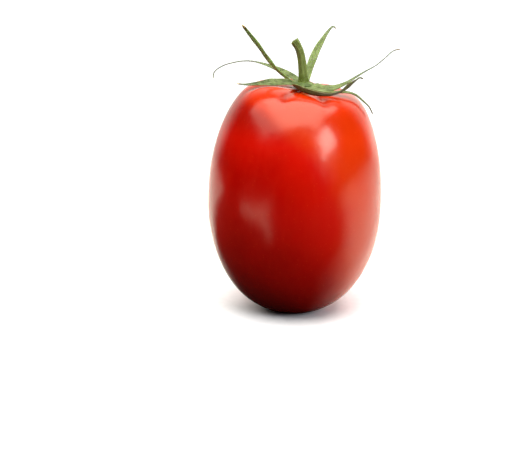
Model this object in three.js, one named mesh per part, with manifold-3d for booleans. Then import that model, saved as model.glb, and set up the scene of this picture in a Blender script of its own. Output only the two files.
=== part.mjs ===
import * as THREE from 'three';
import { mergeVertices } from 'three/addons/utils/BufferGeometryUtils.js';
import Module from 'manifold-3d';

// A plum tomato standing on its blossom end, with its calyx and a short cut stem.
// Millimetres, Z up, front towards -Y. The origin is the middle of the spot it rests on.

const wasm = await Module();
wasm.setup();

const FULL_TURN = 2 * Math.PI;
const LEAST_GAP = 0.3;
const CURVE_KIND = 'catmullrom';
const CURVE_TENSION = 0.5;
const WELD_DISTANCE = 1e-4;

// Fruit: a rounded barrel whose crown is flattened and leans a little to one side
const WAIST_RADIUS = 29;
const WAIST_LEVEL = 38.5;
const CROWN_RISE = 47;
const CROWN_FULLNESS = 2.1;
const BASE_DROP = 39.3;
const BASE_FULLNESS = 2.14;
const CROWN_LEVEL = 39;
const CROWN_SOFTNESS = 3.2;
const LEAN = 3;
const CROWN_TILT = 0.159;
const TILT_POWER = 3;
const LEVEL_MIDDLE = 7;
const DIMPLE_DEPTH = 1.3;
const DIMPLE_RADIUS = 9;
const LOBES = 3;
const LOBE_SWELL = 0.01;
const LOBE_TURN = -30;
const LOBE_POWER = 4;
const CREASES = [249, 297, 26, 70, 128, 193];
const CREASE_DEPTH = 0.4;
const CREASE_SPREAD = 13;
const CREASE_REACH = 10;
const FRUIT_SIDES = 72;
const BASE_RINGS = 22;
const CROWN_RINGS = 38;
const SKIN_COLOUR = 0xc41d0b;
const SKIN_ROUGHNESS = 0.25;

// Calyx: a small disc round the foot of the stem, with seven narrow sepals
const CALYX_X = 2.7;
const CALYX_BOTTOM = 76.3;
const DISC_PROFILE = [[0, 0], [2.3, 0], [3.2, 0.35], [3.7, 0.85], [3.5, 1.3], [2.9, 1.7], [0, 1.75]];
const DISC_SIDES = 40;
const SOCKET_RADIUS = 2.05;
const SOCKET_FLOOR = 77.2;
const SOCKET_TOP = 80.5;
const SEPAL_THICKNESS = 0.64;
const SEPAL_CUP = 0.16;
const SEPAL_STATIONS_PER_MM = 0.62;
const SEPAL_ACROSS = [-1, -0.5, 0, 0.5, 1];
const SEPAL_LIFT = LEAST_GAP + 0.1;
const CROWN_EDGE = 0.9;
const HEIGHT_STEPS = 12;
const CALYX_COLOUR = 0x7f9a52;
const CALYX_ROUGHNESS = 0.7;

// Each row is a point on the midrib, the way the inner face looks there, and the half width.
const SEPALS = {
  left_upright: [
    [1.6, 0.2, 76.8, 0.1, -0.2, 1, 1.3],
    [-2, 1, 78.7, 0.4, 0.4, 0.8, 1.2],
    [-6.3, 2.2, 82, 0.6, 0.5, 0.6, 1.2],
    [-9, 2.5, 85.2, 0.7, 0.55, 0.45, 1.32],
    [-11.2, 2, 88.4, 0.75, 0.55, 0.4, 1.4],
    [-14.4, 1, 92.9, 0.7, 0.65, 0.4, 1.1],
    [-17.5, 0, 97.1, 0.7, 0.6, 0.4, 0.8],
  ],
  left_curl: [
    [1.7, 0.9, 76.8, 0, -0.1, 1, 1.2],
    [-0.4, 4.8, 78.7, 0.3, -0.6, 0.8, 1.4],
    [-6.2, 9.8, 80.7, 0.2, -0.6, 0.8, 0.95],
    [-12.9, 14, 82.1, 0, -0.3, 1, 0.42],
    [-17.1, 15, 82.3, -0.1, -0.3, 1, 0.4],
    [-21, 15.5, 81.6, -0.2, -0.3, 1, 0.4],
    [-24.5, 15.5, 80.5, -0.4, -0.3, 0.9, 0.4],
    [-27.2, 15, 78.6, -0.8, -0.3, 0.6, 0.4],
    [-27.8, 14.2, 76.2, -1, -0.3, 0.1, 0.4],
  ],
  left_flat: [
    [1.7, -0.4, 76.8, 0, 0, 1, 1.4],
    [-1.2, -1.2, 78.1, 0, -0.4, 1, 1.6],
    [-4.8, -2.6, 78.6, 0, -0.5, 1, 1.8],
    [-8.6, -4, 78.7, 0, -0.5, 1, 1.6],
    [-12.4, -4.4, 78.4, 0, -0.5, 1, 0.95],
    [-16, -4.4, 78.1, 0, -0.4, 1, 0.5],
    [-19.2, -4.5, 78.4, 0, -0.3, 1, 0.4],
  ],
  front_curled: [
    [2.5, -1, 76.8, 0, 0, 1, 1.4],
    [0.9, -5, 77.7, 0.2, 0.3, 1, 1.9],
    [0.9, -9.6, 78.1, 0.4, 0.75, 0.6, 1.6],
    [3.4, -12.6, 77.7, 0.2, 0.9, 0.5, 1.25],
    [7.2, -13.2, 76.9, 0, 0.9, 0.5, 0.85],
    [11.4, -11.9, 76.4, -0.2, 0.85, 0.6, 0.65],
    [14.9, -10, 77.1, -0.4, 0.8, 0.5, 0.65],
    [17.2, -8.6, 78.5, -0.5, 0.75, 0.35, 0.85],
    [19.1, -7.6, 79.8, -0.6, 0.5, 0.5, 0.65],
    [21, -6.6, 81, -0.4, -0.1, 1, 0.52],
    [22.3, -6, 80.4, 0.6, -0.2, 0.7, 0.5],
  ],
  right_droop: [
    [3.3, -0.9, 76.8, 0, 0, 1, 1.3],
    [5.4, -4.6, 76.9, 0, -0.1, 1, 1.3],
    [8.8, -7.2, 76.7, 0, -0.05, 1, 1.2],
    [12.1, -8, 76.5, 0.05, 0, 1, 1.15],
    [15.1, -7, 76.3, 0.15, 0, 1, 1],
    [17.8, -6, 75.9, 0.35, -0.05, 0.95, 0.9],
    [20.1, -5, 74.8, 0.65, -0.05, 0.75, 0.8],
    [22.4, -4, 72.7, 0.8, 0, 0.6, 0.65],
    [24.4, -3, 70.6, 0.85, 0, 0.5, 0.5],
    [25.8, -2, 67.7, 1, 0, 0.2, 0.42],
  ],
  right_long: [
    [3.8, -0.3, 76.8, 0, 0, 1, 1.6],
    [5.7, -2.9, 77.3, 0, -0.4, 1, 2.3],
    [9, -5.8, 77, -0.05, -0.45, 1, 1.9],
    [12.7, -6.2, 77.5, -0.2, -0.5, 0.9, 1.25],
    [16.6, -5.7, 79, -0.4, -0.4, 0.8, 0.85],
    [19.9, -4.5, 80.8, -0.4, -0.4, 0.8, 0.52],
    [23.1, -3.5, 82.6, -0.5, -0.4, 0.8, 0.4],
    [26.4, -2.5, 84.3, -0.5, -0.4, 0.8, 0.4],
    [29.4, -1.5, 86.6, -0.6, -0.4, 0.7, 0.4],
    [32, -0.5, 88.7, -0.6, -0.4, 0.7, 0.4],
    [34.8, 0.5, 89.3, -0.1, -0.4, 1, 0.4],
  ],
  back_upright: [
    [3.4, 0.9, 76.8, 0, 0, 1, 1.1],
    [4, 3.2, 79, -0.1, -0.6, 0.8, 1.1],
    [5.1, 4.4, 83, -0.2, -0.95, 0.3, 1.25],
    [7, 5.2, 87.6, -0.3, -0.95, 0.2, 1.2],
    [9, 5.8, 91.2, -0.4, -0.9, 0.2, 0.85],
    [10.9, 6.1, 94.1, -0.5, -0.8, 0.4, 0.5],
    [12.4, 6.1, 95.6, -0.2, -0.5, 0.9, 0.4],
    [13.4, 6.1, 94.8, 0.8, -0.4, 0.4, 0.4],
  ],
};

// Stem: each row is a point on its middle line and the radius there, from foot to cut end
const STEM_POINTS = [
  [2.7, 0, 77.5, 1.58],
  [2.68, 0, 78.6, 1.62],
  [2.55, 0, 80.5, 1.45],
  [2.3, -0.1, 84.2, 1.38],
  [1.8, -0.6, 87.5, 1.3],
  [1, -1.3, 90, 1.28],
  [-0.2, -2.1, 92.1, 1.36],
];
const STEM_SIDES = 30;
const STEM_STATIONS = 22;
const STEM_RIBS = 5;
const STEM_RIB_HEIGHT = 0.07;
const CUT_HOLLOW = 0.25;
const CUT_SLANT_SIDEWAYS = 0.4;
const CUT_SLANT_FORWARD = 0.45;
const STEM_COLOUR = 0x7b8a44;
const STEM_ROUGHNESS = 0.65;

// A closed solid through a row of equal rings, the first and last closed by a middle point
function solidThrough(rings, firstMiddle, lastMiddle) {
  const count = rings[0].length;
  const positions = [];
  for (const ring of rings) {
    for (const point of ring) positions.push(point.x, point.y, point.z);
  }
  const first = positions.length / 3;
  positions.push(firstMiddle.x, firstMiddle.y, firstMiddle.z);
  positions.push(lastMiddle.x, lastMiddle.y, lastMiddle.z);
  const index = [];
  for (let j = 0; j < count; j += 1) {
    const next = (j + 1) % count;
    index.push(first, next, j);
    for (let i = 0; i < rings.length - 1; i += 1) {
      const low = i * count;
      const high = low + count;
      index.push(low + j, low + next, high + next, low + j, high + next, high + j);
    }
    const last = (rings.length - 1) * count;
    index.push(first + 1, last + j, last + next);
  }
  return closedGeometry(positions, index);
}

function closedGeometry(positions, index) {
  const geometry = new THREE.BufferGeometry();
  geometry.setAttribute('position', new THREE.Float32BufferAttribute(positions, 3));
  geometry.setIndex(index);
  return geometry;
}

function toSolid(geometry) {
  geometry.deleteAttribute('normal');
  geometry.deleteAttribute('uv');
  const merged = mergeVertices(geometry, WELD_DISTANCE);
  const vertProperties = new Float32Array(merged.attributes.position.array);
  const triVerts = new Uint32Array(merged.index.array);
  return new wasm.Manifold(new wasm.Mesh({ numProp: 3, vertProperties, triVerts }));
}

function fromSolid(solid) {
  const mesh = solid.getMesh();
  return closedGeometry(Array.from(mesh.vertProperties), Array.from(mesh.triVerts));
}

function pieceOf(name, geometry, color, roughness) {
  geometry.computeVertexNormals();
  const material = new THREE.MeshStandardMaterial({ color, roughness, metalness: 0 });
  const piece = new THREE.Mesh(geometry, material);
  piece.name = name;
  return piece;
}

// How much of the way round lies between two bearings, in degrees from -180 to 180
function bearingBetween(a, b) {
  return THREE.MathUtils.euclideanModulo(a - b + 180, 360) - 180;
}

function creaseDepth(bearing, reach) {
  const along = (reach / CREASE_REACH) ** 2 * Math.exp(1 - (reach / CREASE_REACH) ** 2);
  let depth = 0;
  for (const crease of CREASES) {
    depth += Math.exp(-((bearingBetween(bearing, crease) / CREASE_SPREAD) ** 2));
  }
  return CREASE_DEPTH * along * depth;
}

// Skin of the fruit, found from the bearing round it and the share of the height risen
function crownPoint(around, share) {
  const reach = WAIST_RADIUS * (1 - share ** CROWN_FULLNESS) ** (1 / CROWN_FULLNESS);
  const bearing = THREE.MathUtils.radToDeg(around);
  const lobe = Math.cos(LOBES * (around - THREE.MathUtils.degToRad(LOBE_TURN)));
  const swell = 1 + LOBE_SWELL * lobe * (1 - share ** LOBE_POWER);
  const free = CROWN_RISE * share;
  const flattened = Math.log(1 + Math.exp((free - CROWN_LEVEL) / CROWN_SOFTNESS));
  const level = free - CROWN_SOFTNESS * flattened;
  const dimple = DIMPLE_DEPTH * Math.exp(-((reach / DIMPLE_RADIUS) ** 2));
  const tilt = CROWN_TILT * (1 - Math.exp(-((reach / LEVEL_MIDDLE) ** 2))) * share ** TILT_POWER;
  return new THREE.Vector3(
    reach * swell * Math.cos(around) + LEAN * share ** 2,
    reach * swell * Math.sin(around),
    WAIST_LEVEL + level - dimple - tilt * reach * Math.cos(around) - creaseDepth(bearing, reach),
  );
}

function basePoint(around, share) {
  const reach = WAIST_RADIUS * (1 - share ** BASE_FULLNESS) ** (1 / BASE_FULLNESS);
  const lobe = Math.cos(LOBES * (around - THREE.MathUtils.degToRad(LOBE_TURN)));
  const swell = 1 + LOBE_SWELL * lobe;
  return new THREE.Vector3(
    reach * swell * Math.cos(around),
    reach * swell * Math.sin(around),
    WAIST_LEVEL - BASE_DROP * share,
  );
}

function ringOf(sides, pointAt) {
  const ring = [];
  for (let j = 0; j < sides; j += 1) ring.push(pointAt(FULL_TURN * j / sides));
  return ring;
}

// The whole fruit, from its flat spot up to the middle of the dimple
function makeFruit() {
  const rings = [];
  const flatShare = WAIST_LEVEL / BASE_DROP;
  const flatAngle = Math.asin(flatShare);
  for (let i = 0; i < BASE_RINGS; i += 1) {
    const share = Math.sin(flatAngle * (1 - i / BASE_RINGS));
    rings.push(ringOf(FRUIT_SIDES, (around) => basePoint(around, share)));
  }
  for (let i = 0; i < CROWN_RINGS; i += 1) {
    const share = Math.sin(Math.PI / 2 * i / CROWN_RINGS);
    rings.push(ringOf(FRUIT_SIDES, (around) => crownPoint(around, share)));
  }
  return solidThrough(rings, new THREE.Vector3(0, 0, 0), crownPoint(0, 1));
}

// Height of the crown's skin over a place on the plan, or nothing beyond the shoulder
function crownHeight(x, y) {
  let share = 1;
  for (let step = 0; step < HEIGHT_STEPS; step += 1) {
    const reach = Math.hypot(x - LEAN * share ** 2, y) / WAIST_RADIUS;
    if (reach > CROWN_EDGE) return -Infinity;
    share = (1 - reach ** CROWN_FULLNESS) ** (1 / CROWN_FULLNESS);
  }
  return crownPoint(Math.atan2(y, x - LEAN * share ** 2), share).z;
}

function smoothCurve(points) {
  return new THREE.CatmullRomCurve3(points, false, CURVE_KIND, CURVE_TENSION);
}

// A number that runs smoothly through the values given for the rows of a table
function valueAlong(values, t) {
  return smoothCurve(values.map((value) => new THREE.Vector3(value, 0, 0))).getPoint(t).x;
}

// A sepal: a thin cupped blade along its midrib, resting clear of the skin where it meets it
function makeSepal(rows) {
  const spine = smoothCurve(rows.map((row) => new THREE.Vector3(row[0], row[1], row[2])));
  const facing = smoothCurve(rows.map((row) => new THREE.Vector3(row[3], row[4], row[5])));
  const halfWidths = rows.map((row) => row[6]);
  const stations = Math.round(spine.getLength() * SEPAL_STATIONS_PER_MM);
  const rings = [];
  for (let i = 0; i <= stations; i += 1) {
    const t = i / stations;
    const middle = spine.getPoint(t);
    const along = spine.getTangent(t);
    const inner = facing.getPoint(t);
    inner.addScaledVector(along, -inner.dot(along)).normalize();
    const side = new THREE.Vector3().crossVectors(along, inner);
    const half = valueAlong(halfWidths, t);
    const upper = [];
    const lower = [];
    for (const across of SEPAL_ACROSS) {
      const cup = SEPAL_CUP * half * (across * across - 0.5);
      const heart = middle.clone().addScaledVector(side, across * half);
      heart.addScaledVector(inner, cup);
      const over = heart.clone().addScaledVector(inner, SEPAL_THICKNESS / 2);
      const under = heart.clone().addScaledVector(inner, -SEPAL_THICKNESS / 2);
      const lift = Math.max(0, skinLift(over), skinLift(under));
      over.z += lift;
      under.z += lift;
      upper.push(over);
      lower.unshift(under);
    }
    rings.push([...upper, ...lower]);
  }
  return bladeThrough(rings);
}

function skinLift(point) {
  return crownHeight(point.x, point.y) + SEPAL_LIFT - point.z;
}

// A blade through its rings, both faces split into triangles alike
function bladeThrough(rings) {
  const count = rings[0].length;
  const half = count / 2;
  const positions = [];
  const index = [];
  for (const ring of rings) {
    for (const point of ring) positions.push(point.x, point.y, point.z);
  }
  for (let i = 0; i < rings.length - 1; i += 1) {
    const low = i * count;
    const high = low + count;
    for (let j = 0; j < count; j += 1) {
      const next = (j + 1) % count;
      if (j < half) {
        index.push(low + j, low + next, high + next, low + j, high + next, high + j);
      } else {
        index.push(low + j, low + next, high + j, high + j, low + next, high + next);
      }
    }
  }
  for (const [start, flip] of [[0, true], [(rings.length - 1) * count, false]]) {
    for (let j = 0; j < half - 1; j += 1) {
      const corners = [start + j, start + j + 1, start + count - 2 - j, start + count - 1 - j];
      const [a, b, c, d] = flip ? corners.reverse() : corners;
      index.push(a, b, c, a, c, d);
    }
  }
  return closedGeometry(positions, index);
}

// The disc and sepals grown together, with a socket for the foot of the stem
function makeCalyx() {
  const profile = DISC_PROFILE.map(([x, z]) => new THREE.Vector2(x, z));
  const disc = new THREE.LatheGeometry(profile, DISC_SIDES);
  disc.rotateX(Math.PI / 2);
  disc.translate(CALYX_X, 0, CALYX_BOTTOM);
  let solid = toSolid(disc);
  for (const rows of Object.values(SEPALS)) solid = solid.add(toSolid(makeSepal(rows)));
  const depth = SOCKET_TOP - SOCKET_FLOOR;
  const socket = new THREE.CylinderGeometry(SOCKET_RADIUS, SOCKET_RADIUS, depth, DISC_SIDES);
  socket.rotateX(Math.PI / 2);
  socket.translate(CALYX_X, 0, SOCKET_FLOOR + depth / 2);
  return fromSolid(solid.subtract(toSolid(socket)));
}

// The stalk, ribbed along its length and slanted and hollowed a little at the cut
function makeStem() {
  const spine = smoothCurve(STEM_POINTS.map((row) => new THREE.Vector3(row[0], row[1], row[2])));
  const radii = STEM_POINTS.map((row) => row[3]);
  const rings = [];
  for (let i = 0; i <= STEM_STATIONS; i += 1) {
    const t = i / STEM_STATIONS;
    const middle = spine.getPoint(t);
    const along = spine.getTangent(t);
    const side = new THREE.Vector3(1, 0, 0).addScaledVector(along, -along.x).normalize();
    const front = new THREE.Vector3().crossVectors(along, side);
    const radius = valueAlong(radii, t);
    const cut = i === STEM_STATIONS ? radius : 0;
    rings.push(ringOf(STEM_SIDES, (around) => {
      const rib = 1 + STEM_RIB_HEIGHT * Math.cos(STEM_RIBS * around);
      const point = middle.clone().addScaledVector(side, radius * rib * Math.cos(around));
      point.addScaledVector(front, radius * rib * Math.sin(around));
      const slant = CUT_SLANT_SIDEWAYS * Math.cos(around) - CUT_SLANT_FORWARD * Math.sin(around);
      return point.addScaledVector(along, cut * slant);
    }));
  }
  const foot = spine.getPoint(0);
  const end = spine.getPoint(1).addScaledVector(spine.getTangent(1), -CUT_HOLLOW);
  return solidThrough(rings, foot, end);
}

const tomato = new THREE.Group();
tomato.name = 'plum_tomato';
tomato.add(pieceOf('fruit', makeFruit(), SKIN_COLOUR, SKIN_ROUGHNESS));
tomato.add(pieceOf('calyx', makeCalyx(), CALYX_COLOUR, CALYX_ROUGHNESS));
tomato.add(pieceOf('stem', makeStem(), STEM_COLOUR, STEM_ROUGHNESS));

export default tomato;
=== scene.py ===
import math
import random

import bpy
import numpy as np
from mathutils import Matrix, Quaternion, Vector


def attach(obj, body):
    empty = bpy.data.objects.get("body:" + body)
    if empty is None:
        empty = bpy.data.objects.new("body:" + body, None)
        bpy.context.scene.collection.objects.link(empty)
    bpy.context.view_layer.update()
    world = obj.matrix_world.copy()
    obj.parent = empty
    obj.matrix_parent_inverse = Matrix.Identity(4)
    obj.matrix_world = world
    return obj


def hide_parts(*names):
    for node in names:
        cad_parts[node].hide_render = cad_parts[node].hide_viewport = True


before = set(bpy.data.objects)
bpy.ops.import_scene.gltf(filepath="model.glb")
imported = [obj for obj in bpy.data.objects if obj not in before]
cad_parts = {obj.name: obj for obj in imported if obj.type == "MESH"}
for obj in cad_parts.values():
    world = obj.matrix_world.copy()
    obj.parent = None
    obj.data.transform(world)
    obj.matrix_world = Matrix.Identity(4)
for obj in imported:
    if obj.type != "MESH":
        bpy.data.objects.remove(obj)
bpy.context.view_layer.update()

# Fruit
# The ripe fruit is one body: a thin, smooth, waxy skin over firm flesh, grown round its seed
# chambers. Its crown is flattened, leans a little to the right and dips where the calyx grows.
MM = 0.001
WAIST_RADIUS = 29
WAIST_LEVEL = 38.5
CROWN_RISE = 47
CROWN_FULLNESS = 2.1
CROWN_LEVEL = 39
CROWN_SOFTNESS = 3.2
CROWN_LEAN = 3
CROWN_TILT = 0.159
TILT_POWER = 3
LEVEL_MIDDLE = 7
BASE_DROP = 39.3
BASE_FULLNESS = 2.14
DIMPLE_DEPTH = 1.3
DIMPLE_RADIUS = 9
LOBES = 3
LOBE_SWELL = 0.01
LOBE_TURN = math.radians(-30)
LOBE_POWER = 4
CREASES = (249, 297, 26, 70, 128, 193)
CREASE_DEPTH = 0.4
CREASE_SPREAD = 13
CREASE_REACH = 10
FOLD_DEPTH = 0.48
FOLD_SPREAD = 7
FOLD_REACH = 14.5
FOLD_LENGTH = 4.5
# How the painted shade along the creases spreads round and out from the dimple
TINT_SPREAD = 9
TINT_REACH = 13
TINT_LENGTH = 6
SKIN_SIDES = 320
SKIN_BASE_RINGS = 80
SKIN_CROWN_RINGS = 130
SKIN_UNEVENNESS = 0.1
SLOW_WAVES = 5
SLOW_TWIST = 9
SLOW_RISE = 7
SLOW_START = 1
QUICK_SHARE = 0.5
QUICK_WAVES = 9
QUICK_TWIST = 6
QUICK_RISE = 5
QUICK_START = 2


def crease_depth(around, reach):
    """How deep the short creases that run out of the dimple are, at a bearing and a reach."""
    along = (reach / CREASE_REACH) ** 2 * math.exp(1 - (reach / CREASE_REACH) ** 2)
    fold = math.exp(-(((reach - FOLD_REACH) / FOLD_LENGTH) ** 2))
    depth = np.zeros_like(around)
    for crease in CREASES:
        apart = (np.degrees(around) - crease + 180) % 360 - 180
        depth += CREASE_DEPTH * along * np.exp(-((apart / CREASE_SPREAD) ** 2))
        depth += FOLD_DEPTH * fold * np.exp(-((apart / FOLD_SPREAD) ** 2))
    return depth


def painted_crease_shade(share):
    """How much painted shade darkens the skin along the creases of a ring of the crown, from 0 to
    1.
    """
    around = np.linspace(0, 2 * math.pi, SKIN_SIDES, endpoint=False)
    reach = WAIST_RADIUS * (1 - share**CROWN_FULLNESS) ** (1 / CROWN_FULLNESS)
    tint = np.zeros_like(around)
    for crease in CREASES:
        apart = (np.degrees(around) - crease + 180) % 360 - 180
        tint += np.exp(-((apart / TINT_SPREAD) ** 2))
    return tint * math.exp(-(((reach - TINT_REACH) / TINT_LENGTH) ** 2))


def unevenness(around, level):
    """The slight waviness of a grown surface, in millimetres."""
    slow = np.sin(SLOW_WAVES * around + level / SLOW_TWIST)
    slow = slow * np.sin(level / SLOW_RISE + SLOW_START)
    quick = QUICK_SHARE * np.sin(QUICK_WAVES * around - level / QUICK_TWIST + QUICK_START)
    quick = quick * np.cos(level / QUICK_RISE)
    return SKIN_UNEVENNESS * (slow + quick)


def crown_ring(share):
    """A ring of the skin above the waist, where share is the part of the height risen."""
    around = np.linspace(0, 2 * math.pi, SKIN_SIDES, endpoint=False)
    reach = WAIST_RADIUS * (1 - share**CROWN_FULLNESS) ** (1 / CROWN_FULLNESS)
    swell = 1 + LOBE_SWELL * np.cos(LOBES * (around - LOBE_TURN)) * (1 - share**LOBE_POWER)
    free = CROWN_RISE * share
    level = free - CROWN_SOFTNESS * math.log1p(math.exp((free - CROWN_LEVEL) / CROWN_SOFTNESS))
    dimple = DIMPLE_DEPTH * math.exp(-((reach / DIMPLE_RADIUS) ** 2))
    tilt = CROWN_TILT * (1 - math.exp(-((reach / LEVEL_MIDDLE) ** 2))) * share**TILT_POWER
    out = reach * swell + unevenness(around, level) * reach / WAIST_RADIUS
    x = out * np.cos(around) + CROWN_LEAN * share**2
    y = out * np.sin(around)
    z = WAIST_LEVEL + level - dimple - tilt * reach * np.cos(around)
    return np.stack([x, y, z - crease_depth(around, reach)], axis=1)


def base_ring(share):
    """A ring of the skin below the waist, where share is the part of the depth gone down."""
    around = np.linspace(0, 2 * math.pi, SKIN_SIDES, endpoint=False)
    reach = WAIST_RADIUS * (1 - share**BASE_FULLNESS) ** (1 / BASE_FULLNESS)
    swell = 1 + LOBE_SWELL * np.cos(LOBES * (around - LOBE_TURN))
    level = -BASE_DROP * share
    out = reach * swell + unevenness(around, level) * reach / WAIST_RADIUS
    x = out * np.cos(around)
    y = out * np.sin(around)
    return np.stack([x, y, np.full_like(x, WAIST_LEVEL + level)], axis=1)


def body_through(name, rings, first_middle, last_middle):
    """A closed, smooth mesh through equal rings in millimetres, each end closed by a point."""
    count = len(rings[0])
    points = np.concatenate([*rings, [first_middle], [last_middle]]) * MM
    faces = []
    for i in range(len(rings) - 1):
        low, high = i * count, (i + 1) * count
        for j in range(count):
            following = (j + 1) % count
            faces.append((low + j, low + following, high + following, high + j))
    first, last = len(points) - 2, len(points) - 1
    top = (len(rings) - 1) * count
    for j in range(count):
        following = (j + 1) % count
        faces.append((first, following, j))
        faces.append((last, top + j, top + following))
    mesh = bpy.data.meshes.new(name)
    mesh.from_pydata(points.tolist(), [], faces)
    mesh.polygons.foreach_set("use_smooth", [True] * len(mesh.polygons))
    piece = bpy.data.objects.new(name, mesh)
    bpy.context.scene.collection.objects.link(piece)
    return piece


def add_node(tree, kind, inputs=None, **settings):
    """A node with its settings and inputs, each input a value or another node's output."""
    made = tree.nodes.new(kind)
    for name, value in settings.items():
        setattr(made, name, value)
    for name, value in (inputs or {}).items():
        if isinstance(value, bpy.types.NodeSocket):
            tree.links.new(value, made.inputs[name])
        else:
            made.inputs[name].default_value = value
    return made


def blend_colours(tree, mask, first, second):
    """The first colour where the mask is 0 and the second where it is 1."""
    made = tree.nodes.new("ShaderNodeMix")
    made.data_type = "RGBA"
    for slot, value in ((0, mask), (6, first), (7, second)):
        if isinstance(value, bpy.types.NodeSocket):
            tree.links.new(value, made.inputs[slot])
        elif slot:
            made.inputs[slot].default_value = (*value, 1)
        else:
            made.inputs[slot].default_value = value
    return made.outputs[2]


def ramp(tree, value, start, end, low=0.0, high=1.0):
    """A smooth rise from low to high as the value goes from start to end."""
    made = add_node(tree, "ShaderNodeMapRange", {
        "Value": value, "From Min": start, "From Max": end, "To Min": low, "To Max": high,
    }, interpolation_type="SMOOTHSTEP")
    return made.outputs["Result"]


def combine(tree, operation, first, second):
    """One number worked out from two, each a value or another node's output."""
    made = add_node(tree, "ShaderNodeMath", {0: first, 1: second}, operation=operation)
    return made.outputs["Value"]


def new_material(name):
    """A material and its node tree, emptied ready for its own shader."""
    material = bpy.data.materials.new(name)
    material.use_nodes = True
    material.node_tree.nodes.clear()
    return material, material.node_tree


def finish_material(tree, shader):
    output = tree.nodes.new("ShaderNodeOutputMaterial")
    tree.links.new(shader.outputs["BSDF"], output.inputs["Surface"])


BROAD_CONTRAST = (0.35, 0.65)
FINE_CONTRAST = (0.3, 0.7)


def make_growth_group():
    """Uneven colour drawn out along the way a plant grew: a broad mask and a fine one."""
    group = bpy.data.node_groups.new("growth_mottle", "ShaderNodeTree")
    for name, default in (("Broad Scale", 60.0), ("Fine Scale", 900.0), ("Stretch", 0.2)):
        socket = group.interface.new_socket(name, in_out="INPUT", socket_type="NodeSocketFloat")
        socket.default_value = default
    group.interface.new_socket("Vector", in_out="INPUT", socket_type="NodeSocketVector")
    for name in ("Broad", "Fine"):
        group.interface.new_socket(name, in_out="OUTPUT", socket_type="NodeSocketFloat")
    given = group.nodes.new("NodeGroupInput")
    result = group.nodes.new("NodeGroupOutput")
    broad = add_node(group, "ShaderNodeTexNoise", {
        "Vector": given.outputs["Vector"], "Scale": given.outputs["Broad Scale"],
        "Detail": 3.0, "Roughness": 0.5,
    })
    stretch = add_node(group, "ShaderNodeCombineXYZ", {
        "X": 1.0, "Y": 1.0, "Z": given.outputs["Stretch"],
    })
    drawn = add_node(group, "ShaderNodeVectorMath", {
        0: given.outputs["Vector"], 1: stretch.outputs["Vector"],
    }, operation="MULTIPLY")
    fine = add_node(group, "ShaderNodeTexNoise", {
        "Vector": drawn.outputs["Vector"], "Scale": given.outputs["Fine Scale"],
        "Detail": 4.0, "Roughness": 0.6,
    })
    broad_mask = ramp(group, broad.outputs["Fac"], *BROAD_CONTRAST)
    fine_mask = ramp(group, fine.outputs["Fac"], *FINE_CONTRAST)
    group.links.new(broad_mask, result.inputs["Broad"])
    group.links.new(fine_mask, result.inputs["Fine"])
    return group


growth_group = make_growth_group()


def growth_masks(tree, vector, broad_scale, fine_scale, stretch):
    """The growth group placed in a material with its own scales."""
    made = add_node(tree, "ShaderNodeGroup", node_tree=growth_group)
    tree.links.new(vector, made.inputs["Vector"])
    made.inputs["Broad Scale"].default_value = broad_scale
    made.inputs["Fine Scale"].default_value = fine_scale
    made.inputs["Stretch"].default_value = stretch
    return made.outputs["Broad"], made.outputs["Fine"]


DEEP_RED = (0.315, 0.0008, 0.0001)
RIPE_RED = (0.355, 0.001, 0.0001)
# A lighter red painted where light falls on the skin: painted light
PAINTED_LIGHT_RED = (0.47, 0.0028, 0.0001)
# Orange-red: painted light on the right shoulder where the light is brightest, and the skin's own
# fine streaks
ORANGE_RED = (0.54, 0.026, 0.0008)
# A dark red for painted shade: on the crown, towards the right edge and along the creases
PAINTED_SHADE_RED = (0.13, 0.0015, 0.0003)
BRIGHT_LEVELS = (48 * MM, 65 * MM)
BRIGHT_SIDES = (12.5 * MM, 32.5 * MM)
BRIGHT_SLOPE = 0.5
FLANK_SIDES = (-16 * MM, -27 * MM)
FLANK_LEVELS = (60 * MM, 50 * MM)
FLANK_SHARE = 0.8
CROWN_LEVELS = (61 * MM, 70 * MM)
CROWN_SHADE = 0.54
LIT_ORANGE_CROWN = 0.4
RIM_SIDES = (19 * MM, 30 * MM)
RIM_LEVELS = (62 * MM, 50 * MM)
RIM_SHADE = 0.3
CREASE_SHADE = 0.6
WAX_TINT = (1.0, 0.97, 0.80, 1.0)
ORANGE_SIDES = (12.8 * MM, 24.8 * MM)
ORANGE_START = 38 * MM
ORANGE_SPREAD = 40 * MM
ORANGE_WANDER = 3 * MM
STREAK_SHARE = 0.06
PORE_SCALE = 620.0
PORE_EDGE = (0.16, 0.07)
PORE_SHARE = 0.1
PALE_DOT = (0.85, 0.12, 0.02)
CORKY_BROWN = (0.16, 0.06, 0.02)
CALYX_CENTRE = (2.7 * MM, 0, 76.4 * MM)
CORK_REACH = (4.6 * MM, 2.6 * MM)
SCAR_REACH = (1.3 * MM, 0.65 * MM)
SWELL_SCALE = 130.0
SWELL_HEIGHT = 0.25 * MM
PEEL_SCALE = 1800.0
PEEL_HEIGHT = 0.02 * MM
SKIN_MOTTLE = (45, 700, 0.18)
SKIN_GLOSS = (0.195, 0.23)
SKIN_DEPTH = 3 * MM


def distance_from(tree, vector, point):
    made = add_node(tree, "ShaderNodeVectorMath", {0: vector, 1: point}, operation="DISTANCE")
    return made.outputs["Value"]


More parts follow.
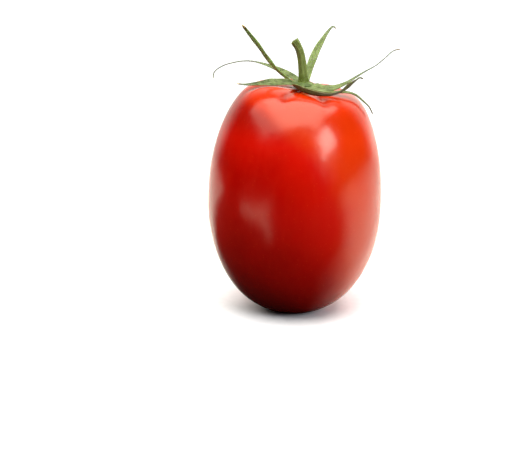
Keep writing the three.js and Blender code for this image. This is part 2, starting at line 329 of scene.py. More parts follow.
def make_skin_material():
    material, tree = new_material("tomato_skin")
    place = tree.nodes.new("ShaderNodeTexCoord").outputs["Object"]
    parts = add_node(tree, "ShaderNodeSeparateXYZ", {"Vector": place})
    broad, fine = growth_masks(tree, place, *SKIN_MOTTLE)
    colour = blend_colours(tree, broad, DEEP_RED, RIPE_RED)
    # Painted light: the skin is painted a lighter red higher up, on its right side and on its
    # lower left flank, where light falls on it
    sideways = combine(tree, "ADD", parts.outputs["X"], combine(
        tree, "MULTIPLY", parts.outputs["Z"], BRIGHT_SLOPE))
    painted_light = combine(tree, "MAXIMUM", ramp(tree, parts.outputs["Z"], *BRIGHT_LEVELS),
                     ramp(tree, sideways, *BRIGHT_SIDES))
    flank = ramp(tree, parts.outputs["X"], *FLANK_SIDES, 0, FLANK_SHARE)
    flank = combine(tree, "MULTIPLY", flank, ramp(tree, parts.outputs["Z"], *FLANK_LEVELS))
    painted_light = combine(tree, "MAXIMUM", painted_light, flank)
    colour = blend_colours(tree, painted_light, colour, PAINTED_LIGHT_RED)
    # Painted light: the right shoulder is painted orange-red where the light on it is brightest,
    # reaching further left higher up
    above = combine(tree, "MAXIMUM", combine(
        tree, "SUBTRACT", parts.outputs["Z"], ORANGE_START), 0.0)
    curve = combine(tree, "DIVIDE", combine(tree, "MULTIPLY", above, above), ORANGE_SPREAD)
    shoulder = combine(tree, "ADD", parts.outputs["X"], curve)
    shoulder = combine(tree, "ADD", shoulder, combine(tree, "MULTIPLY", broad, ORANGE_WANDER))
    lit_orange = ramp(tree, shoulder, *ORANGE_SIDES)
    colour = blend_colours(tree, lit_orange, colour, ORANGE_RED)
    # Painted shade: the crown is painted darker towards its top, less so where it is painted
    # orange
    crown = ramp(tree, parts.outputs["Z"], *CROWN_LEVELS, 0, CROWN_SHADE)
    crown = combine(tree, "MULTIPLY", crown, ramp(tree, lit_orange, 0, 1, 1, LIT_ORANGE_CROWN))
    colour = blend_colours(tree, crown, colour, PAINTED_SHADE_RED)
    # Painted shade: the right side is painted darker towards its edge, below the shoulder
    rim = ramp(tree, parts.outputs["X"], *RIM_SIDES, 0, RIM_SHADE)
    rim = combine(tree, "MULTIPLY", rim, ramp(tree, parts.outputs["Z"], *RIM_LEVELS))
    colour = blend_colours(tree, rim, colour, PAINTED_SHADE_RED)
    # Painted shade: the skin is painted darker along the creases that run out of the dimple
    shade_in_creases = add_node(tree, "ShaderNodeAttribute", attribute_name="crease").outputs["Fac"]
    shade_in_creases = combine(tree, "MULTIPLY", shade_in_creases, CREASE_SHADE)
    colour = blend_colours(tree, shade_in_creases, colour, PAINTED_SHADE_RED)
    streaks = combine(tree, "MULTIPLY", fine, STREAK_SHARE)
    colour = blend_colours(tree, streaks, colour, ORANGE_RED)
    pores = add_node(tree, "ShaderNodeTexVoronoi", {"Vector": place, "Scale": PORE_SCALE})
    dots = ramp(tree, pores.outputs["Distance"], *PORE_EDGE, 0, PORE_SHARE)
    colour = blend_colours(tree, dots, colour, PALE_DOT)
    cork = ramp(tree, distance_from(tree, place, CALYX_CENTRE), *CORK_REACH)
    colour = blend_colours(tree, cork, colour, CORKY_BROWN)
    scar = ramp(tree, distance_from(tree, place, (0, 0, 0)), *SCAR_REACH)
    colour = blend_colours(tree, scar, colour, CORKY_BROWN)
    swell = add_node(tree, "ShaderNodeTexNoise", {
        "Vector": place, "Scale": SWELL_SCALE, "Detail": 2.0,
    })
    peel = add_node(tree, "ShaderNodeTexNoise", {"Vector": place, "Scale": PEEL_SCALE})
    slow = add_node(tree, "ShaderNodeBump", {
        "Strength": 0.35, "Distance": SWELL_HEIGHT, "Height": swell.outputs["Fac"],
    })
    fast = add_node(tree, "ShaderNodeBump", {
        "Strength": 0.2, "Distance": PEEL_HEIGHT, "Height": peel.outputs["Fac"],
        "Normal": slow.outputs["Normal"],
    })
    shader = add_node(tree, "ShaderNodeBsdfPrincipled", {
        "Base Color": colour,
        "Roughness": ramp(tree, fine, 0, 1, *SKIN_GLOSS),
        "IOR": 1.45,
        "Specular Tint": WAX_TINT,
        "Subsurface Weight": 0.15,
        "Subsurface Radius": (1.0, 0.18, 0.08),
        "Subsurface Scale": SKIN_DEPTH,
        "Normal": fast.outputs["Normal"],
    })
    finish_material(tree, shader)
    return material


def write_attribute(piece, name, values):
    attribute = piece.data.attributes.new(name, "FLOAT", "POINT")
    attribute.data.foreach_set("value", np.asarray(values, np.float32))


def make_fruit():
    flat_angle = math.asin(WAIST_LEVEL / BASE_DROP)
    shares = [math.sin(flat_angle * (1 - i / SKIN_BASE_RINGS)) for i in range(SKIN_BASE_RINGS)]
    rings = [base_ring(share) for share in shares]
    crease_shade_rings = [0.0] * (SKIN_SIDES * SKIN_BASE_RINGS)
    for i in range(SKIN_CROWN_RINGS):
        share = math.sin(math.pi / 2 * i / SKIN_CROWN_RINGS)
        rings.append(crown_ring(share))
        crease_shade_rings.extend(painted_crease_shade(share))
    top = crown_ring(1.0)[0]
    piece = body_through("fruit_skin", rings, (0, 0, 0), top)
    write_attribute(piece, "crease", [*crease_shade_rings, 0, 0])
    piece.data.materials.append(make_skin_material())
    return piece


fruit = make_fruit()
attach(fruit, "root")
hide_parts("fruit")

# Calyx
# The calyx is the green star left from the flower: a small fleshy disc round the foot of the
# stem, with seven narrow leafy sepals that have dried, curled and browned at their tips.
DISC_CENTRE = (2.7, 0.0)
DISC_PROFILE = ((0.4, 76.35), (2.2, 76.35), (3.0, 76.6), (3.5, 77.1), (3.3, 77.6), (2.7, 78.0),
                (2.1, 78.25), (1.6, 78.4), (0.8, 78.4))
DISC_SIDES = 96
DISC_RINGS = 40
DISC_SCALLOPS = 7
SCALLOP_DEPTH = 0.05
SCALLOP_START = 2
SEPAL_THICKNESS = 0.44
MARGIN_THICKNESS = 0.16
MARGIN_ROUNDING = 0.98
THICKNESS_SHARES = (0.55, 0.45)
SEPAL_CUP = 0.18
CURL_HEIGHT = 0.06
CURL_WAVES = 22
RIPPLES = ((0.03, 16), (0.02, 37))
MIDRIB_HEIGHT = 0.14
MIDRIB_SPREAD = 0.3
MIDRIB_SUNK = 0.6
TIP_STATIONS = 4
TIP_WIDTH = 0.12
SEPAL_STEP = 0.3
SEPAL_COLUMNS = 15
SEPAL_CLEARANCE = 0.15
CROWN_EDGE = 0.9
HEIGHT_STEPS = 12
SLENDER_HALF_WIDTH = 0.9

# Each row is a point on the midrib, the way the inner face looks there, and the half width
SEPALS = {
    "left_upright": (
        (1.6, 0.2, 76.8, 0.1, -0.2, 1, 1.3),
        (-2, 1, 78.7, 0.4, 0.4, 0.8, 1.2),
        (-6.3, 2.2, 82, 0.6, 0.5, 0.6, 1.2),
        (-9, 2.5, 85.2, 0.7, 0.55, 0.45, 1.32),
        (-11.2, 2, 88.4, 0.75, 0.55, 0.4, 1.4),
        (-14.4, 1, 92.9, 0.7, 0.65, 0.4, 1.1),
        (-17.5, 0, 97.1, 0.7, 0.6, 0.4, 0.8),
    ),
    "left_curl": (
        (1.7, 0.9, 76.8, 0, -0.1, 1, 1.2),
        (-0.4, 4.8, 78.7, 0.3, -0.6, 0.8, 1.4),
        (-6.2, 9.8, 80.7, 0.2, -0.6, 0.8, 0.95),
        (-12.9, 14, 82.1, 0, -0.3, 1, 0.42),
        (-17.1, 15, 82.3, -0.1, -0.3, 1, 0.26),
        (-21, 15.5, 81.6, -0.2, -0.3, 1, 0.24),
        (-24.5, 15.5, 80.5, -0.4, -0.3, 0.9, 0.22),
        (-27.2, 15, 78.6, -0.8, -0.3, 0.6, 0.22),
        (-27.8, 14.2, 76.2, -1, -0.3, 0.1, 0.2),
    ),
    "left_flat": (
        (1.7, -0.4, 76.8, 0, 0, 1, 1.4),
        (-1.2, -1.2, 78.1, 0, -0.4, 1, 1.6),
        (-4.8, -2.6, 78.6, 0, -0.5, 1, 1.8),
        (-8.6, -4, 78.7, 0, -0.5, 1, 1.6),
        (-12.4, -4.4, 78.4, 0, -0.5, 1, 0.95),
        (-16, -4.4, 78.1, 0, -0.4, 1, 0.5),
        (-19.2, -4.5, 78.4, 0, -0.3, 1, 0.3),
    ),
    "front_curled": (
        (2.5, -1, 76.8, 0, 0, 1, 1.4),
        (0.9, -5, 77.7, 0.2, 0.3, 1, 1.9),
        (0.9, -9.6, 78.1, 0.4, 0.75, 0.6, 1.6),
        (3.4, -12.6, 77.7, 0.2, 0.9, 0.5, 1.25),
        (7.2, -13.2, 76.9, 0, 0.9, 0.5, 0.85),
        (11.4, -11.9, 76.4, -0.2, 0.85, 0.6, 0.65),
        (14.9, -10, 77.1, -0.4, 0.8, 0.5, 0.65),
        (17.2, -8.6, 78.5, -0.5, 0.75, 0.35, 0.85),
        (19.1, -7.6, 79.8, -0.6, 0.5, 0.5, 0.65),
        (21, -6.6, 81, -0.4, -0.1, 1, 0.52),
        (22.3, -6, 80.4, 0.6, -0.2, 0.7, 0.5),
    ),
    "right_droop": (
        (3.3, -0.9, 76.8, 0, 0, 1, 1.3),
        (5.4, -4.6, 76.9, 0, -0.1, 1, 1.3),
        (8.8, -7.2, 76.7, 0, -0.05, 1, 1.2),
        (12.1, -8, 76.5, 0.05, 0, 1, 1.15),
        (15.1, -7, 76.3, 0.15, 0, 1, 1),
        (17.8, -6, 75.9, 0.35, -0.05, 0.95, 0.9),
        (20.1, -5, 74.8, 0.65, -0.05, 0.75, 0.8),
        (22.4, -4, 72.7, 0.8, 0, 0.6, 0.65),
        (24.4, -3, 70.6, 0.85, 0, 0.5, 0.5),
        (25.8, -2, 67.7, 1, 0, 0.2, 0.42),
    ),
    "right_long": (
        (3.8, -0.3, 76.8, 0, 0, 1, 1.6),
        (5.7, -2.9, 77.3, 0, -0.4, 1, 2.3),
        (9, -5.8, 77, -0.05, -0.45, 1, 1.9),
        (12.7, -6.2, 77.5, -0.2, -0.5, 0.9, 1.25),
        (16.6, -5.7, 79, -0.4, -0.4, 0.8, 0.85),
        (19.9, -4.5, 80.8, -0.4, -0.4, 0.8, 0.52),
        (23.1, -3.5, 82.6, -0.5, -0.4, 0.8, 0.3),
        (26.4, -2.5, 84.3, -0.5, -0.4, 0.8, 0.2),
        (29.4, -1.5, 86.6, -0.6, -0.4, 0.7, 0.18),
        (32, -0.5, 88.7, -0.6, -0.4, 0.7, 0.19),
        (34.8, 0.5, 89.3, -0.1, -0.4, 1, 0.26),
    ),
    "back_upright": (
        (3.4, 0.9, 76.8, 0, 0, 1, 1.1),
        (4, 3.2, 79, -0.1, -0.6, 0.8, 1.1),
        (5.1, 4.4, 83, -0.2, -0.95, 0.3, 1.25),
        (7, 5.2, 87.6, -0.3, -0.95, 0.2, 1.2),
        (9, 5.8, 91.2, -0.4, -0.9, 0.2, 0.85),
        (10.9, 6.1, 94.1, -0.5, -0.8, 0.4, 0.5),
        (12.4, 6.1, 95.6, -0.2, -0.5, 0.9, 0.32),
        (13.4, 6.1, 94.8, 0.8, -0.4, 0.4, 0.28),
    ),
}

# How pale each sepal is, and how much painted shade, reddened by light mirrored from the fruit,
# darkens its outer face, from 0 to 1
SEPAL_TONES = {
    "left_upright": (0.25, 0.0),
    "left_curl": (0.26, 0.1),
    "left_flat": (0.2, 0.15),
    "front_curled": (0.4, 0.88),
    "right_droop": (0.45, 0.5),
    "right_long": (0.3, 0.2),
    "back_upright": (0.8, 0.0),
}


def smooth_rows(rows, count):
    """The rows of a table as a smooth run of that many rows, through every row given."""
    rows = np.array(rows, float)
    padded = np.vstack([2 * rows[0] - rows[1], rows, 2 * rows[-1] - rows[-2]])
    places = np.linspace(0, len(rows) - 1, count)
    step = np.minimum(places.astype(int), len(rows) - 2)
    t = (places - step)[:, None]
    before, start, end, after = (padded[step + k] for k in range(4))
    return 0.5 * (2 * start + (end - before) * t
                  + (2 * before - 5 * start + 4 * end - after) * t**2
                  + (3 * start - before - 3 * end + after) * t**3)


def unit(vectors):
    return vectors / np.linalg.norm(vectors, axis=1, keepdims=True)


def crown_height(x, y):
    """The level of the skin below a place on the plan, in millimetres, or None off the crown."""
    share = 1.0
    for _ in range(HEIGHT_STEPS):
        reach = math.hypot(x - CROWN_LEAN * share**2, y) / WAIST_RADIUS
        if reach > CROWN_EDGE:
            return None
        share = (1 - reach**CROWN_FULLNESS) ** (1 / CROWN_FULLNESS)
    ring = crown_ring(share)
    bearing = math.atan2(y, x - CROWN_LEAN * share**2) % (2 * math.pi)
    return ring[round(bearing / (2 * math.pi) * SKIN_SIDES) % SKIN_SIDES][2]


def sepal_rings(rows, seed):
    """The closed sections of a sepal along its midrib, and the half width at each."""
    draw = random.Random(seed)
    phases = [draw.uniform(0, 2 * math.pi) for _ in range(4)]
    length = np.linalg.norm(np.diff(np.array(rows)[:, :3], axis=0), axis=1).sum()
    smooth = smooth_rows(rows, round(length / SEPAL_STEP))
    middle, inner, half = smooth[:, :3], smooth[:, 3:6], smooth[:, 6]
    along = unit(np.gradient(middle, axis=0))
    inner = unit(inner - (inner * along).sum(1, keepdims=True) * along)
    side = np.cross(along, inner)
    across = np.linspace(-1, 1, SEPAL_COLUMNS)
    rings = []
    for i in range(len(smooth)):
        travelled = i / (len(smooth) - 1)
        closing = min(1.0, (1 - travelled) * len(smooth) / TIP_STATIONS + TIP_WIDTH)
        ripple = sum(height * math.sin(travelled * waves + phase)
                     for (height, waves), phase in zip(RIPPLES, phases))
        width = half[i] * closing * (1 + ripple)
        curl = CURL_HEIGHT * half[i] * np.sin(travelled * CURL_WAVES + phases[2] + across)
        curl = curl * np.abs(across) ** 3
        cup = SEPAL_CUP * half[i] * (across**2 - 0.5) + curl
        thickness = MARGIN_THICKNESS + (SEPAL_THICKNESS - MARGIN_THICKNESS) * np.sqrt(
            1 - MARGIN_ROUNDING * across**2)
        thickness = thickness * (THICKNESS_SHARES[0] + THICKNESS_SHARES[1] * min(1, half[i]))
        thickness = thickness * closing
        rib = MIDRIB_HEIGHT * min(1, half[i])
        rib = rib * np.exp(-((across * half[i] / MIDRIB_SPREAD) ** 2))
        heart = middle[i] + np.outer(across * width, side[i]) + np.outer(cup, inner[i])
        over = heart + np.outer(thickness / 2 - MIDRIB_SUNK * rib, inner[i])
        under = heart - np.outer(thickness / 2 + rib, inner[i])
        for k in range(SEPAL_COLUMNS):
            floor = crown_height(under[k][0], under[k][1])
            if floor is not None:
                lift = max(0, floor + SEPAL_CLEARANCE - min(under[k][2], over[k][2]))
                under[k][2] += lift
                over[k][2] += lift
        rings.append(np.vstack([over, under[::-1]]))
    return rings, half


def make_sepal(name, rows, seed):
    rings, half = sepal_rings(rows, seed)
    piece = body_through("sepal_" + name, rings, rings[0].mean(0), rings[-1].mean(0))
    stations = len(rings)
    pale, underside_shade = SEPAL_TONES[name]
    slender = np.repeat(np.clip(1 - half / SLENDER_HALF_WIDTH, 0, 1), 2 * SEPAL_COLUMNS)
    write_attribute(piece, "slender", [*slender, 0, 1])
    write_attribute(piece, "pale", [pale] * len(piece.data.vertices))
    write_attribute(piece, "underside_shade", [underside_shade] * len(piece.data.vertices))
    across = np.linspace(-1, 1, SEPAL_COLUMNS)
    along = np.repeat(np.arange(stations) / (stations - 1), 2 * SEPAL_COLUMNS)
    write_attribute(piece, "along", [*along, 0, 1])
    write_attribute(piece, "across", [*np.tile([*across, *across[::-1]], stations), 0, 0])
    faces = [1.0] * SEPAL_COLUMNS + [0.0] * SEPAL_COLUMNS
    write_attribute(piece, "inner", [*np.tile(faces, stations), 0.5, 0.5])
    return piece


INNER_GREEN = (0.035, 0.05, 0.01)
INNER_PALE = (0.35, 0.45, 0.17)
# The outer face's greens are paler than the sepal's own, as painted light for the light its
# shaded side does not get
OUTER_GREEN = (0.34, 0.51, 0.155)
OUTER_DARK = (0.24, 0.37, 0.115)
VEIN_PALE = (0.22, 0.27, 0.10)
VEIN_DARK = (0.045, 0.06, 0.012)
SLENDER_GREY = (0.13, 0.145, 0.115)
# A dark red-brown for painted shade on the sepals' outer faces, with the fruit's red mirrored
# into it
UNDERSIDE_SHADE_RED = (0.055, 0.015, 0.001)
DRY_BROWN = (0.12, 0.065, 0.02)
DRY_YELLOW = (0.5, 0.36, 0.13)
SEPAL_MOTTLE = (420, 2600, 1.0)
UNEVEN_TONE = 0.35
RIB_EDGE = (0.16, 0.03)
RIB_SHARE = 0.4
VEIN_WAVES = 17.0
VEIN_EDGE = (0.4, 0.95)
VEIN_SHARE = 0.35
VEIN_HEIGHT = 0.5
GRAIN_SHARE = 0.35
MARGIN_EDGE = (0.84, 1.0)
MARGIN_SHARE = 0.2
DRY_WANDER = 0.06
BROWN_REACH = (0.94, 1.02)
YELLOW_REACH = (1.0, 1.03)
SEPAL_BUMP = 0.06 * MM
SEPAL_GLOSS = (0.5, 0.7)
LEAF_DEPTH = 0.7 * MM


def make_sepal_material():
    material, tree = new_material("sepal_leaf")
    place = tree.nodes.new("ShaderNodeTexCoord").outputs["Object"]
    along = add_node(tree, "ShaderNodeAttribute", attribute_name="along").outputs["Fac"]
    across = add_node(tree, "ShaderNodeAttribute", attribute_name="across").outputs["Fac"]
    inner = add_node(tree, "ShaderNodeAttribute", attribute_name="inner").outputs["Fac"]
    pale = add_node(tree, "ShaderNodeAttribute", attribute_name="pale").outputs["Fac"]
    underside_shade = add_node(tree, "ShaderNodeAttribute", attribute_name="underside_shade").outputs["Fac"]
    slender = add_node(tree, "ShaderNodeAttribute", attribute_name="slender").outputs["Fac"]
    broad, fine = growth_masks(tree, place, *SEPAL_MOTTLE)
    uneven = combine(tree, "SUBTRACT", broad, 0.5)
    uneven = combine(tree, "MULTIPLY", uneven, UNEVEN_TONE)
    lit = blend_colours(tree, combine(tree, "ADD", pale, uneven), INNER_GREEN, INNER_PALE)
    # Painted light: the outer face is given a paler green than its own, to stand for light that
    # its shaded side does not get
    shaded = blend_colours(tree, broad, OUTER_DARK, OUTER_GREEN)
    # Painted shade and painted red reflection: the outer face is darkened towards red-brown where
    # it lies in shadow over the fruit
    shaded = blend_colours(tree, underside_shade, shaded, UNDERSIDE_SHADE_RED)
    colour = blend_colours(tree, inner, shaded, lit)
    width = combine(tree, "ABSOLUTE", across, 0.0)
    unshaded = combine(tree, "SUBTRACT", 1.0, underside_shade)
    rib = combine(tree, "MULTIPLY", ramp(tree, width, *RIB_EDGE, 0, RIB_SHARE), unshaded)
    colour = blend_colours(tree, rib, colour, VEIN_PALE)
    veins = combine(tree, "SINE", combine(tree, "MULTIPLY", across, VEIN_WAVES), 0.0)
    lines = combine(tree, "MULTIPLY", ramp(tree, veins, *VEIN_EDGE, 0, VEIN_SHARE), inner)
    colour = blend_colours(tree, lines, colour, VEIN_PALE)
    grain = combine(tree, "MULTIPLY", fine, GRAIN_SHARE)
    colour = blend_colours(tree, grain, colour, VEIN_DARK)
    colour = blend_colours(tree, slender, colour, SLENDER_GREY)
    margin = combine(tree, "MULTIPLY", ramp(tree, width, *MARGIN_EDGE), MARGIN_SHARE)
    colour = blend_colours(tree, margin, colour, DRY_BROWN)
    drying = combine(tree, "ADD", along, combine(tree, "MULTIPLY", broad, DRY_WANDER))
    colour = blend_colours(tree, ramp(tree, drying, *BROWN_REACH), colour, DRY_BROWN)
    colour = blend_colours(tree, ramp(tree, drying, *YELLOW_REACH), colour, DRY_YELLOW)
    height = combine(tree, "ADD", combine(tree, "MULTIPLY", veins, VEIN_HEIGHT), fine)
    bump = add_node(tree, "ShaderNodeBump", {
        "Strength": 0.5, "Distance": SEPAL_BUMP, "Height": height,
    })
    shader = add_node(tree, "ShaderNodeBsdfPrincipled", {
        "Base Color": colour,
        "Roughness": ramp(tree, fine, 0, 1, *SEPAL_GLOSS),
        "Specular IOR Level": 0.2,
        "Subsurface Weight": 0.4,
        "Subsurface Radius": (0.7, 1.0, 0.3),
        "Subsurface Scale": LEAF_DEPTH,
        "Normal": bump.outputs["Normal"],
    })
    finish_material(tree, shader)
    return material


sepal_material = make_sepal_material()
sepals = []
for order, (sepal_name, sepal_rows) in enumerate(SEPALS.items()):
    sepal = make_sepal(sepal_name, sepal_rows, order + 1)
    sepal.data.materials.append(sepal_material)
    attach(sepal, "root")
    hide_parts("calyx")
    sepals.append(sepal)

DISC_TONES = {
    "along": 0.05, "across": 0.3, "inner": 0.8, "pale": 0.05, "underside_shade": 0.1, "slender": 0,
}


def make_disc():
    """The fleshy disc, scalloped where each sepal springs from it."""
    profile = smooth_rows(DISC_PROFILE, DISC_RINGS)
    around = np.linspace(0, 2 * math.pi, DISC_SIDES, endpoint=False)
    rings = []
    for reach, level in profile:
        scallop = SCALLOP_DEPTH * np.cos(DISC_SCALLOPS * around) * min(1, reach / SCALLOP_START)
        out = reach * (1 + scallop)
        x = DISC_CENTRE[0] + out * np.cos(around)
        y = DISC_CENTRE[1] + out * np.sin(around)
        rings.append(np.stack([x, y, np.full_like(x, level)], axis=1))
    bottom = (*DISC_CENTRE, DISC_PROFILE[0][1])
    top = (*DISC_CENTRE, DISC_PROFILE[-1][1])
    piece = body_through("calyx_disc", rings, bottom, top)
    for name, value in DISC_TONES.items():
        write_attribute(piece, name, [value] * len(piece.data.vertices))
    return piece


disc = make_disc()
disc.data.materials.append(sepal_material)
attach(disc, "root")
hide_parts("calyx")

# Stem
# The stem is a short juicy stalk with low ribs, thickened at its foot where it joins the calyx.
# It bends over to the left and was broken off, which left a pale slanting end.
STEM_ROWS = (
    (2.7, 0, 77.3, 2.7),
    (2.69, 0, 77.9, 2.2),
    (2.66, 0, 78.8, 1.72),
    (2.6, 0, 80, 1.5),
    (2.5, 0, 81.4, 1.42),
    (2.3, -0.1, 84.2, 1.38),
    (1.8, -0.6, 87.5, 1.3),
    (1, -1.3, 90, 1.28),
    (-0.2, -2.1, 92.1, 1.36),
)
STEM_SIDES = 90
STEM_STATIONS = 120
STEM_RIBS = 5
STEM_RIB_HEIGHT = 0.06
STEM_TWIST = 0.5
STEM_UNEVENNESS = 0.012
STEM_RIPPLES = (11, 9, 34)
CUT_SLANT_SIDEWAYS = 0.5
CUT_SLANT_FORWARD = 0.55
CUT_RINGS = ((0.97, 0.06), (0.86, 0.02), (0.7, -0.12), (0.45, -0.2), (0.2, -0.16))
PITH_DEPTH = 0.1


def stem_frames():
    smooth = smooth_rows(STEM_ROWS, STEM_STATIONS)
    middle, radius = smooth[:, :3], smooth[:, 3]
    along = unit(np.gradient(middle, axis=0))
    side = np.zeros_like(along)
    side[:, 0] = 1
    side = unit(side - (side * along).sum(1, keepdims=True) * along)
    return middle, radius, along, side, np.cross(along, side)


def make_stem():
    middle, radius, along, side, front = stem_frames()
    around = np.linspace(0, 2 * math.pi, STEM_SIDES, endpoint=False)
    rings = []
    for i in range(STEM_STATIONS):
        travelled = i / (STEM_STATIONS - 1)
        turn = around + STEM_TWIST * travelled
        rib = 1 + STEM_RIB_HEIGHT * np.cos(STEM_RIBS * turn)
        round_waves, twist, long_waves = STEM_RIPPLES
        uneven = STEM_UNEVENNESS * np.sin(round_waves * around + twist * travelled)
        rib += uneven + STEM_UNEVENNESS * math.sin(long_waves * travelled)
        ring = middle[i] + np.outer(radius[i] * rib * np.cos(around), side[i])
        ring += np.outer(radius[i] * rib * np.sin(around), front[i])
        if i == STEM_STATIONS - 1:
            slant = CUT_SLANT_SIDEWAYS * np.cos(around) - CUT_SLANT_FORWARD * np.sin(around)
            ring += np.outer(radius[i] * slant, along[i])
        rings.append(ring)
    rim = rings[-1]
    heart = rim.mean(0)
    for share, rise in CUT_RINGS:
        rings.append(heart + (rim - heart) * share + along[-1] * rise)
    piece = body_through("stem_stalk", rings, middle[0], heart - along[-1] * PITH_DEPTH)
    ribs = np.cos(STEM_RIBS * np.add.outer(np.linspace(0, STEM_TWIST, STEM_STATIONS), around))
    ribs = [*ribs.ravel(), *[0.0] * (STEM_SIDES * len(CUT_RINGS)), 0, 0]
    write_attribute(piece, "rib", ribs)
    cut = [0.0] * (STEM_SIDES * STEM_STATIONS) + [1.0] * (STEM_SIDES * len(CUT_RINGS)) + [0, 1]
    write_attribute(piece, "cut", cut)
    return piece


STALK_GREEN = (0.19, 0.245, 0.055)
STALK_DARK = (0.11, 0.145, 0.032)
STALK_RIDGE = (0.20, 0.27, 0.075)
STALK_FOOT = (0.06, 0.088, 0.001)
FOOT_LEVELS = (82 * MM, 79 * MM)
FOOT_SHARE = 0.8
STALK_MOTTLE = (300, 2400, 0.25)
RIDGE_EDGE = (-0.4, 1.0)
RIDGE_SHARE = 0.75
STALK_GRAIN = 0.4
STALK_BUMP = 0.08 * MM
STALK_GLOSS = (0.45, 0.65)
STALK_DEPTH = 0.5 * MM
CUT_PITH = (0.45, 0.42, 0.16)
CUT_BROWN = (0.15, 0.09, 0.03)


def make_stalk_material():
    material, tree = new_material("stem_stalk")
    place = tree.nodes.new("ShaderNodeTexCoord").outputs["Object"]
    rib = add_node(tree, "ShaderNodeAttribute", attribute_name="rib").outputs["Fac"]
    cut = add_node(tree, "ShaderNodeAttribute", attribute_name="cut").outputs["Fac"]
    broad, fine = growth_masks(tree, place, *STALK_MOTTLE)
    colour = blend_colours(tree, broad, STALK_GREEN, STALK_DARK)
    ridge = ramp(tree, rib, *RIDGE_EDGE, 0, RIDGE_SHARE)
    colour = blend_colours(tree, ridge, colour, STALK_RIDGE)
    grain = combine(tree, "MULTIPLY", fine, STALK_GRAIN)
    colour = blend_colours(tree, grain, colour, STALK_DARK)
    level = add_node(tree, "ShaderNodeSeparateXYZ", {"Vector": place}).outputs["Z"]
    foot = ramp(tree, level, *FOOT_LEVELS, 0, FOOT_SHARE)
    colour = blend_colours(tree, foot, colour, STALK_FOOT)
    pith = blend_colours(tree, broad, CUT_PITH, CUT_BROWN)
    colour = blend_colours(tree, cut, colour, pith)
    bump = add_node(tree, "ShaderNodeBump", {
        "Strength": 0.6, "Distance": STALK_BUMP, "Height": fine,
    })
    shader = add_node(tree, "ShaderNodeBsdfPrincipled", {
        "Base Color": colour,
        "Roughness": ramp(tree, fine, 0, 1, *STALK_GLOSS),
        "Specular IOR Level": 0.25,
        "Subsurface Weight": 0.1,
        "Subsurface Radius": (0.6, 1.0, 0.3),
        "Subsurface Scale": STALK_DEPTH,
        "Normal": bump.outputs["Normal"],
    })
    finish_material(tree, shader)
    return material


stem = make_stem()
stem.data.materials.append(make_stalk_material())
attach(stem, "root")
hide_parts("stem")

# Down
# A short pale down grows on the stem and on the sepals' backs and margins, as fine tapering
# hairs that stand out from the surface. Each hair is a slim three-sided spike.
HAIR_ROOT = 0.022
HAIR_LENGTHS = (0.2, 0.55)
STEM_HAIRS = 700
SEPAL_HAIRS = 200
HAIR_LEAN = 0.5
HAIR_BURIED = 0.03
HAIR_CORNERS = 3
HAIR_SEED = 40
HAIR_COLOUR = (0.34, 0.38, 0.22)
HAIR_MOTTLE = (500, 3000, 1.0)


def make_down(name, carrier, count, seed):
    """Hairs at seeded random places of a piece, each leaning a little off its normal."""
    draw = random.Random(seed)
    faces = carrier.data.polygons
    points, spikes = [], []
    for _ in range(count):
        face = faces[draw.randrange(len(faces))]
        foot = Vector(face.center) / MM
        lean = Vector([draw.uniform(-HAIR_LEAN, HAIR_LEAN) for _ in range(3)])
        way = (Vector(face.normal) + lean).normalized()
        side = way.orthogonal().normalized()
        other = way.cross(side)
        start = len(points)
        for k in range(HAIR_CORNERS):
            turn = 2 * math.pi * k / HAIR_CORNERS
            root = side * math.cos(turn) + other * math.sin(turn)
            points.append((foot - way * HAIR_BURIED + root * HAIR_ROOT) * MM)
        points.append((foot + way * draw.uniform(*HAIR_LENGTHS)) * MM)
        for k in range(HAIR_CORNERS):
            spikes.append((start + k, start + (k + 1) % HAIR_CORNERS, start + HAIR_CORNERS))
        spikes.append((start + 2, start + 1, start))
    mesh = bpy.data.meshes.new(name)
    mesh.from_pydata(points, [], spikes)
    piece = bpy.data.objects.new(name, mesh)
    bpy.context.scene.collection.objects.link(piece)
    return piece


def make_hair_material():
    material, tree = new_material("plant_down")
    place = tree.nodes.new("ShaderNodeTexCoord").outputs["Object"]
    broad, _ = growth_masks(tree, place, *HAIR_MOTTLE)
    colour = blend_colours(tree, broad, HAIR_COLOUR, STALK_RIDGE)
    shader = add_node(tree, "ShaderNodeBsdfPrincipled", {"Base Color": colour, "Roughness": 0.6})
    finish_material(tree, shader)
    return material


hair_material = make_hair_material()
carriers = [(stem, STEM_HAIRS, "stem")]
carriers.extend((sepal, SEPAL_HAIRS, "sepal") for sepal in sepals)
for order, (carrier, hairs, hair_slot) in enumerate(carriers):
    down = make_down("down_" + carrier.name, carrier, hairs, HAIR_SEED + order)
    down.data.materials.append(hair_material)
    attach(down, "root")

# Studio
# A white sheet on a table under a wide, slightly warm soft light, with a smaller soft light to
# the front right and a white surround behind. Painted shade: the sheet's own material is painted
# dark in front of the fruit for mirrored and scattered light alone, as black cards out of view
# would be, with a lighter gap on the left.
SHEET_SIDE = 0.5
SHEET_FRONT = -0.28
SHEET_BACK = 0.36
CARDS_LEFT_NEAR = -122
CARDS_LEFT_FAR = -103
CARDS_WIDENING = (0.09, 0.3)
CARDS_RIGHT = 61
CARD_EDGE = 7
CARD_EDGE_RIGHT = 11
FOOT_EDGE = 32
FOOT_REACH = (0.025, 0.075)
GAP_RIGHT = -26
GAP_LEFT_NEAR = -31
GAP_LEFT_FAR = -66
GAP_WIDENING = (0.11, 0.2)
GAP_EDGE = 5
GAP_START = (0.07, 0.115)
GAP_END = (0.39, 0.3)
GAP_LIGHT = 0.78
PAPER_WHITE = (0.88, 0.88, 0.88)
PAPER_DULL = (0.85, 0.85, 0.85)
PAPER_MIRRORED = (0.88, 0.84, 0.74)
# The dark of the painted shade in front of the fruit
PAINTED_SHADE_BLACK = (0.03, 0.008, 0.006)
FIBRE_SCALE = 400.0
FIBRE_EDGE = (0.3, 0.7)


